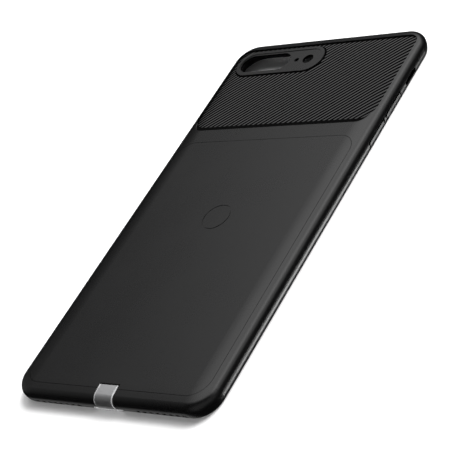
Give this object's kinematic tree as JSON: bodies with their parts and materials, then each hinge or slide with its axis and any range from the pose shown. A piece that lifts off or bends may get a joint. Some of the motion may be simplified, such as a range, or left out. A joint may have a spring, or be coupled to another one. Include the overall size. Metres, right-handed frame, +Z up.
{
  "type": "wireless charging phone case",
  "caption": "Slim black clip-on phone case with a ribbed panel round the lens holes, a flush receiver cover and a metal strip that carries a plug round the bottom edge.",
  "frame": {"origin": "on the plane of the rim, under the middle of the case", "axes": "+X across the back to the side with the switch opening, +Y along the case to the lens end, +Z up, out of the back; the case lies on its rim with its back up"},
  "size_m": [0.0812, 0.1619, 0.0061],
  "materials": {
    "case_plastic": "satin black moulded plastic",
    "cover_plastic": "satin black moulded plastic",
    "strip_steel": "brushed stainless steel",
    "plug_plastic": "matt black moulding",
    "tongue_steel": "plated steel",
    "contact_gold": "gold plated",
    "ferrite": "matt dark grey sheet",
    "coil_copper": "bare copper",
    "board_laminate": "green solder mask",
    "chip_resin": "matt black resin",
    "inductor_ceramic": "dark grey sintered block",
    "capacitor_ceramic": "tan fired block",
    "flex_film": "amber film"
  },
  "bodies": {
    "root": {"shell": "case_plastic", "receiver_cover": "cover_plastic", "connector_arm": "strip_steel", "plug_base": "plug_plastic", "plug_tongue": "tongue_steel", "contact_carrier": "plug_plastic", "plug_contacts": "contact_gold", "ferrite_sheet": "ferrite", "receiver_coil": "coil_copper", "coil_leads": "coil_copper", "receiver_board": "board_laminate", "receiver_chip": "chip_resin", "board_inductor": "inductor_ceramic", "board_capacitors": "capacitor_ceramic", "flex_tail": "flex_film"}
  },
  "joints": []
}
